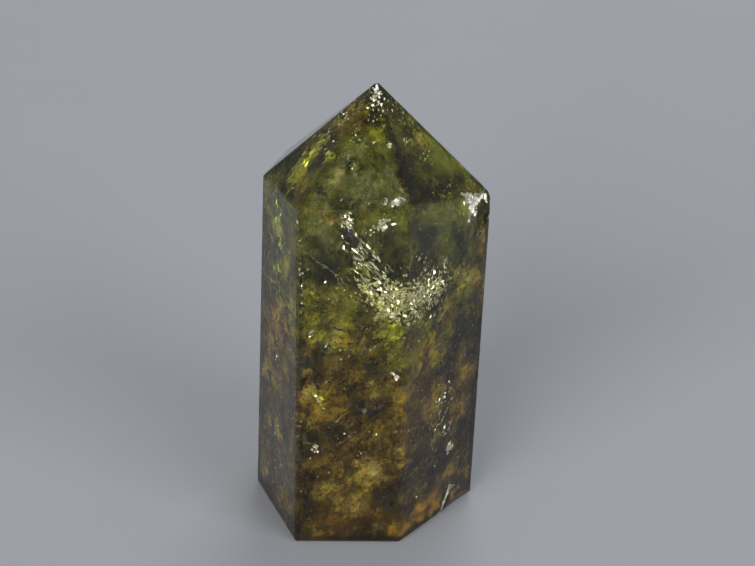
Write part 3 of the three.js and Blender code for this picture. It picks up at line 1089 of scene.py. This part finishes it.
PLATES = {
    "bright_plates": PlateKind(
        BRIGHT_CLUSTERS, (0.75, 0.72, 0.55), (0.98, 0.97, 0.9), 0.25, 0.45, "fracture_film"
    ),
    "golden_plates": PlateKind(
        GOLD_CLUSTERS, (0.6, 0.55, 0.2), (0.98, 0.95, 0.68), 0.25, 0.45, "fracture_film"
    ),
    "lime_streaks": PlateKind(
        LIME_CLUSTERS, (0.2, 0.2, 0.01), (0.85, 0.83, 0.1), 0.4, 0.4, "cloud_veil"
    ),
    "grey_films": PlateKind(
        GREY_CLUSTERS, (0.3, 0.32, 0.28), (0.8, 0.82, 0.78), 0.4, 0.2, "fracture_film", 0.45
    ),
    "dark_specks": PlateKind(
        DARK_CLUSTERS, (0.004, 0.003, 0.002), (0.05, 0.03, 0.012), 0.6, 0.0, "iron_stain"
    ),
}


class CITRINE_OT_plates(bpy.types.Operator):
    """Build the drifts of bright, golden, lime, grey and dark plates"""

    bl_idname = "citrine.plates"
    bl_label = "Plates"

    def execute(self, context):
        for number, (name, kind) in enumerate(PLATES.items()):
            chance = random.Random(60 + number)
            bm = bmesh.new()
            layer = bm.verts.layers.float.new("shade")
            for cluster in kind.clusters:
                add_cluster(bm, layer, cluster, chance)
            finish = film_finish(name, kind.dark, kind.pale, kind.roughness, kind.mirror, kind.torn)
            add_piece(name, bm, finish, kind.slot)
        return {"FINISHED"}


# ---------------------------------------------------------------- the healed fracture

# The healed fracture runs down to the right under the front face: middle line, in millimetres.
FRACTURE_ROUTE = [
    (-4.6, -14.1, 54.6),
    (-3.2, -14.1, 51.5),
    (-1.6, -14, 48.5),
    (0.4, -13.9, 45.4),
    (2.6, -13.8, 43.2),
]
SLIVERS = 300
PATCH_MIDDLE = (5, -14.5, 41.2)  # the crackled patch, in millimetres
PATCH_HALF_WIDTH = 6.8
PATCH_HALF_HEIGHT = 4.2
GOLDS = [
    (0.0, (0.04, 0.035, 0.005)),
    (0.25, (0.35, 0.31, 0.05)),
    (0.5, (0.85, 0.8, 0.35)),
    (0.75, (0.97, 0.95, 0.68)),
    (1.0, (1.0, 1.0, 0.92)),
]


def along_route(route, share):
    """The point at a share of the way along a route of straight stretches, and the way it heads."""
    steps = [Vector(point) * MM for point in route]
    lengths = [(second - first).length for first, second in zip(steps, steps[1:])]
    left = share * sum(lengths)
    for first, second, length in zip(steps, steps[1:], lengths):
        if left <= length:
            break
        left -= length
    return first.lerp(second, min(1.0, left / length)), (second - first).normalized()


class CITRINE_OT_fracture(bpy.types.Operator):
    """Build the healed fracture: slivers of film in rows, and the crackled golden patch at its foot"""

    bl_idname = "citrine.fracture"
    bl_label = "Healed fracture"

    def execute(self, context):
        self.add_slivers()
        self.add_patch()
        return {"FINISHED"}

    def add_slivers(self):
        chance = random.Random(31)
        bm = bmesh.new()
        layer = bm.verts.layers.float.new("shade")
        for _ in range(SLIVERS):
            share = chance.random()
            point, heading = along_route(FRACTURE_ROUTE, share)
            outward = nearest_cut(point)[0]
            across = outward.cross(heading)
            wide = 0.6 + 1.5 * share
            point = point + across * chance.gauss(0, 0.6) * wide * MM
            at = beneath(point, chance.uniform(0.7, 2.6) * MM)
            facing = tilted(set_facing(outward), 0.2, chance)
            run = heading + across * chance.gauss(0.15, 0.4)
            run = (run - facing * run.dot(facing)).normalized()
            length = chance.uniform(0.3, 1.4) * MM
            width = length * chance.uniform(0.1, 0.32)
            sides = chance.randint(5, 8)
            add_flake(bm, layer, at, facing, run, length, width, sides, chance.random() ** 0.7, chance)
        finish = film_finish("fracture_slivers", (0.3, 0.27, 0.12), (0.98, 0.97, 0.86), 0.25, 0.4)
        add_piece("fracture_slivers", bm, finish, "fracture_film")

    def add_patch(self):
        bm = bmesh.new()
        layer = bm.verts.layers.float.new("rim")
        made = bmesh.ops.create_grid(bm, x_segments=96, y_segments=56, size=1)
        middle = Vector(PATCH_MIDDLE) * MM
        for vert in made["verts"]:
            east, north = vert.co.x, vert.co.y
            slanted = north - 0.28 * east
            where = middle + Vector((east * PATCH_HALF_WIDTH, 0, slanted * PATCH_HALF_HEIGHT)) * MM
            wobble = noise.fractal(where * 1100, 0.6, 2.0, 4)
            outer = where + Vector((0, -4, 0)) * MM
            depth = 1.6 + 0.9 * north - 0.5 * east + 0.09 * wobble + 0.25 * noise.noise(where * 260)
            vert.co = kept_inside(outer, depth * MM)
            vert[layer] = math.hypot(east, north)
        finish = Finish("crackled_gold")
        fine = finish.noise(1500, 5, 0.75) - 0.5
        broad = finish.noise(420, 3, 0.6) - 0.5
        cracks = finish.cells(1500, "DISTANCE_TO_EDGE")
        value = (0.58 + fine * 3.2 + broad * 1.8).clamped()
        whole = 0.62 - finish.drawn("rim") + broad * 3.2 + fine * 2.0
        surface = {
            "Base Color": finish.ramp(value, GOLDS),
            "Roughness": (0.35 + fine).clamped(),
            "Metallic": (broad * 12 + 0.2).clamped(),
            "Alpha": (whole * 5).clamped() * (cracks * 9).clamped(),
        }
        add_piece("crackled_patch", bm, finish.finished(surface), "fracture_film")


# ---------------------------------------------------------------- cracks

# Thin ribbons of film where cracks come near the surface, and a few ribbons of painted highlight or painted
# shade: a route in millimetres, and the width.
PALE_CRACKS_AND_HIGHLIGHT = [
    (
        [(12.1, -6.2, 0.5), (12.5, -5.8, 1.6), (12.9, -5.2, 2.3),
         (13.4, -4.6, 3.3), (13.3, -4.7, 3.5), (14.3, -3.4, 3.9)],
        0.34,
    ),
    (
        [(-10.4, -14.4, 49.6), (-8.6, -14.4, 48.8), (-6.8, -14.4, 47.2),
         (-4.9, -14.3, 45.8), (-3.4, -14.2, 44)],
        0.06,
    ),
    ([(-7.2, -14.4, 47.8), (-5.4, -14.3, 46.2), (-4.2, -14.2, 44.2)], 0.08),
    ([(9.6, -9, 18.6), (10.5, -7.8, 17), (11.6, -6.6, 17.4), (12.6, -5.4, 19.2)], 0.16),
    ([(10.5, -7.8, 17), (10.6, -7.6, 14.8), (10.2, -8.1, 13.2)], 0.13),
    ([(8.6, -10.3, 30.6), (10.4, -8, 31.5), (12, -6, 31)], 0.12),
    ([(-5.4, -14.5, 20.6), (-4.4, -14.4, 21.6), (-3.6, -14.4, 22.6)], 0.12),
    # This ribbon, down the front-left edge, is a painted highlight: it stands for the edge catching the
    # light.
    ([(-10.9, -13.8, 55.2), (-10.8, -14.2, 52.6), (-10.7, -14.4, 50.4)], 0.09),
]
DARK_CRACKS_AND_SHADE = [
    # The first two ribbons, wide and dark down the ridge of the point, are painted shade rather than
    # cracks.
    (
        [(1.1, -4.9, 66), (2.2, -6.5, 63.7), (3.3, -8.1, 61.5),
         (4.3, -9.9, 59.3), (5.2, -11.3, 57.3)],
        1.1,
    ),
    ([(3.7, -8.1, 61.2), (4.9, -9.7, 59.2), (6, -10.8, 57.3)], 1.5),
    ([(-2.2, -14.5, 22.6), (-0.4, -14.4, 23.6), (1.6, -14.3, 24.2), (3.6, -14.2, 25.2)], 0.5),
    ([(-0.6, -14.4, 22.9), (1.4, -14.3, 23.3), (2.6, -14.2, 24)], 0.24),
    ([(-0.6, -14.3, 31.4), (0.5, -14.2, 30.4), (1.6, -14.2, 30)], 0.26),
    ([(-5.4, -14.4, 37.8), (-4.4, -14.3, 37), (-3.4, -14.2, 36.8)], 0.22),
    ([(10.2, -8, 25), (12, -6, 27), (14, -3.4, 29)], 0.22),
]


def add_ribbon(bm, layer, route, width, chance):
    """Adds a ribbon along a crack, or along a line of painted highlight or painted shade, wavering and
    tapered at its ends.
    """
    steps = 10 * len(route)
    made = bmesh.ops.create_grid(bm, x_segments=steps, y_segments=1, size=1)
    shift = Vector((chance.uniform(0, 50), chance.uniform(0, 50), 0))
    for vert in made["verts"]:
        share = (vert.co.x + 1) / 2
        point, heading = along_route(route, share)
        outward = nearest_cut(point)[0]
        across = outward.cross(heading).normalized()
        waver = noise.noise(point * 1400 + shift) * 0.35 * MM
        taper = 0.35 + 0.65 * math.sin(math.pi * share)
        broad = width * MM * taper * (1 + noise.noise(point * 2600 - shift))
        at = point + across * (waver + vert.co.y * broad / 2)
        vert.co = beneath(at, (0.32 + 0.14 * vert.co.y) * MM)
        vert[layer] = 0.5 + noise.noise(point * 1900 + shift)


class CITRINE_OT_cracks(bpy.types.Operator):
    """Build the cracks that come near the surface, a painted highlight down the front-left edge, and
    painted shade down the ridge of the point
    """

    bl_idname = "citrine.cracks"
    bl_label = "Cracks"

    def execute(self, context):
        chance = random.Random(77)
        finishes = [
            ("pale_cracks_and_highlight", PALE_CRACKS_AND_HIGHLIGHT, (0.6, 0.55, 0.4), (0.98, 0.96, 0.88), 0.3, 0.45),
            ("dark_cracks_and_shade", DARK_CRACKS_AND_SHADE, (0.003, 0.002, 0.001), (0.04, 0.03, 0.01), 0.0, 0.3),
        ]
        for name, cracks, dark, pale, mirror, torn in finishes:
            bm = bmesh.new()
            layer = bm.verts.layers.float.new("shade")
            for route, width in cracks:
                add_ribbon(bm, layer, route, width, chance)
            add_piece(name, bm, film_finish(name, dark, pale, 0.3, mirror, torn), "fracture_film")
        return {"FINISHED"}


SPARKLES = 900
SPARKLE_LENGTHS = (0.12, 0.15, 0.2, 0.3, 0.45)  # in millimetres


class CITRINE_OT_sparkles(bpy.types.Operator):
    """Scatter small bright films all over, more of them towards the point"""

    bl_idname = "citrine.sparkles"
    bl_label = "Sparkles"

    def execute(self, context):
        chance = random.Random(23)
        bm = bmesh.new()
        layer = bm.verts.layers.float.new("shade")
        made = 0
        while made < SPARKLES:
            x, y = chance.uniform(-17, 17), chance.uniform(-15, 15)
            at = Vector((x, y, 70 * chance.random() ** 0.8)) * MM
            if not 0.4 * MM < depth_of(at) < 3.0 * MM:
                continue
            outward = tilted(set_facing(nearest_cut(at)[0]), 0.2, chance)
            run = outward.orthogonal().normalized()
            length = chance.choice(SPARKLE_LENGTHS) * MM
            add_flake(bm, layer, at, outward, run, length, 0.6 * length, 5, chance.random(), chance)
            made += 1
        finish = film_finish("sparkle_film", (0.7, 0.64, 0.4), (0.98, 0.96, 0.82), 0.25, 0.5)
        add_piece("sparkles", bm, finish, "fracture_film")
        return {"FINISHED"}


# ---------------------------------------------------------------- the stage


FLOOR_RADIUS = 3.0
FLOOR_GAP = 0.1 * MM  # keeps the floor and the stone's base from lying in one plane
LIGHT_SIZE = 1.5
LIGHT_AIM = Vector((0, 0, 0.03))
CAMERA_RISE = math.radians(28.70)
CAMERA_ROLL = math.radians(2.62)
CAMERA_TARGET = Vector((0.73, 0, 37.22)) * MM
CAMERA_DISTANCE = 253.3 * MM
CAMERA_LENS = 81.06  # in millimetres, as is the film's width
CAMERA_FILM = 36


def area_light(name, at, power, colour):
    """A soft square light that shines at the stone."""
    data = bpy.data.lights.new(name, "AREA")
    data.shape = "SQUARE"
    data.size = LIGHT_SIZE
    data.energy = power
    data.color = colour
    lamp = bpy.data.objects.new(name, data)
    lamp.location = at
    lamp.rotation_euler = (LIGHT_AIM - Vector(at)).to_track_quat("-Z", "Y").to_euler()
    bpy.context.scene.collection.objects.link(lamp)


class CITRINE_OT_stage(bpy.types.Operator):
    """Build the floor, the soft lights and the camera"""

    bl_idname = "citrine.stage"
    bl_label = "Stage"

    def execute(self, context):
        settings = context.scene.citrine.stage
        self.add_floor(settings)
        self.add_lights(context, settings)
        self.add_camera(context)
        self.set_light(context)
        return {"FINISHED"}

    def add_floor(self, settings):
        bm = bmesh.new()
        bmesh.ops.create_circle(bm, cap_ends=True, segments=96, radius=FLOOR_RADIUS)
        bmesh.ops.translate(bm, verts=bm.verts, vec=(0, 0, -FLOOR_GAP))
        finish = Finish("pale_floor")
        cloudy = finish.noise(30, 3, 0.5)
        shade = tuple(0.97 * part for part in settings.floor)
        colour = finish.blend(cloudy, shade, settings.floor)
        mesh = bpy.data.meshes.new("floor")
        bm.to_mesh(mesh)
        bm.free()
        mesh.materials.append(finish.finished({"Base Color": colour, "Roughness": 0.9}))
        floor = bpy.data.objects.new("floor", mesh)
        bpy.context.scene.collection.objects.link(floor)

    def add_lights(self, context, settings):
        world = bpy.data.worlds.new("soft_surround")
        world.use_nodes = True
        background = world.node_tree.nodes["Background"]
        background.inputs["Color"].default_value = (0.93, 0.96, 1.0, 1)
        background.inputs["Strength"].default_value = settings.sky
        context.scene.world = world
        area_light("key", (-1.1, -1.9, 0.85), settings.key, (1, 0.98, 0.95))
        area_light("fill", (1.75, -1.4, 1.0), settings.fill, (0.96, 0.98, 1))
        area_light("back", (0.4, 2.1, 1.5), settings.back, (1, 1, 1))

    def add_camera(self, context):
        away = Vector((0, -math.cos(CAMERA_RISE), math.sin(CAMERA_RISE)))
        level = Vector((1, 0, 0))
        upward = Vector((0, math.sin(CAMERA_RISE), math.cos(CAMERA_RISE)))
        across = math.cos(CAMERA_ROLL) * level + math.sin(CAMERA_ROLL) * upward
        upright = math.cos(CAMERA_ROLL) * upward - math.sin(CAMERA_ROLL) * level
        data = bpy.data.cameras.new("camera")
        data.lens = CAMERA_LENS
        data.sensor_width = CAMERA_FILM
        data.clip_start = 10 * MM
        camera = bpy.data.objects.new("camera", data)
        turn = Matrix((across, upright, away)).transposed().to_4x4()
        camera.matrix_world = Matrix.Translation(CAMERA_TARGET + away * CAMERA_DISTANCE) @ turn
        context.scene.collection.objects.link(camera)
        context.scene.camera = camera

    def set_light(self, context):
        """Shows colours plainly, and lets light pass through the many films and masses in the stone."""
        context.scene.view_settings.view_transform = "Standard"
        context.scene.cycles.max_bounces = 40
        context.scene.cycles.glossy_bounces = 24
        context.scene.cycles.transmission_bounces = 40
        context.scene.cycles.transparent_max_bounces = 96


# ---------------------------------------------------------------- the add-on

OPERATORS = [
    CITRINE_OT_stage,
    CITRINE_OT_stone,
    CITRINE_OT_smoke,
    CITRINE_OT_clouds,
    CITRINE_OT_plates,
    CITRINE_OT_fracture,
    CITRINE_OT_cracks,
    CITRINE_OT_sparkles,
]


class CITRINE_PT_panel(bpy.types.Panel):
    """The steps that build the crystal point"""

    bl_label = "Citrine point"
    bl_idname = "CITRINE_PT_panel"
    bl_space_type = "VIEW_3D"
    bl_region_type = "UI"
    bl_category = "Citrine"

    def draw(self, context):
        for operator in OPERATORS:
            self.layout.operator(operator.bl_idname)


CLASSES = [StoneSettings, StageSettings, CitrineSettings, *OPERATORS, CITRINE_PT_panel]


def register():
    for each in CLASSES:
        bpy.utils.register_class(each)
    bpy.types.Scene.citrine = PointerProperty(type=CitrineSettings)


def unregister():
    del bpy.types.Scene.citrine
    for each in reversed(CLASSES):
        bpy.utils.unregister_class(each)


def main():
    register()
    for operator in OPERATORS:
        group, name = operator.bl_idname.split(".")
        getattr(getattr(bpy.ops, group), name)()


if __name__ == "__main__":
    main()
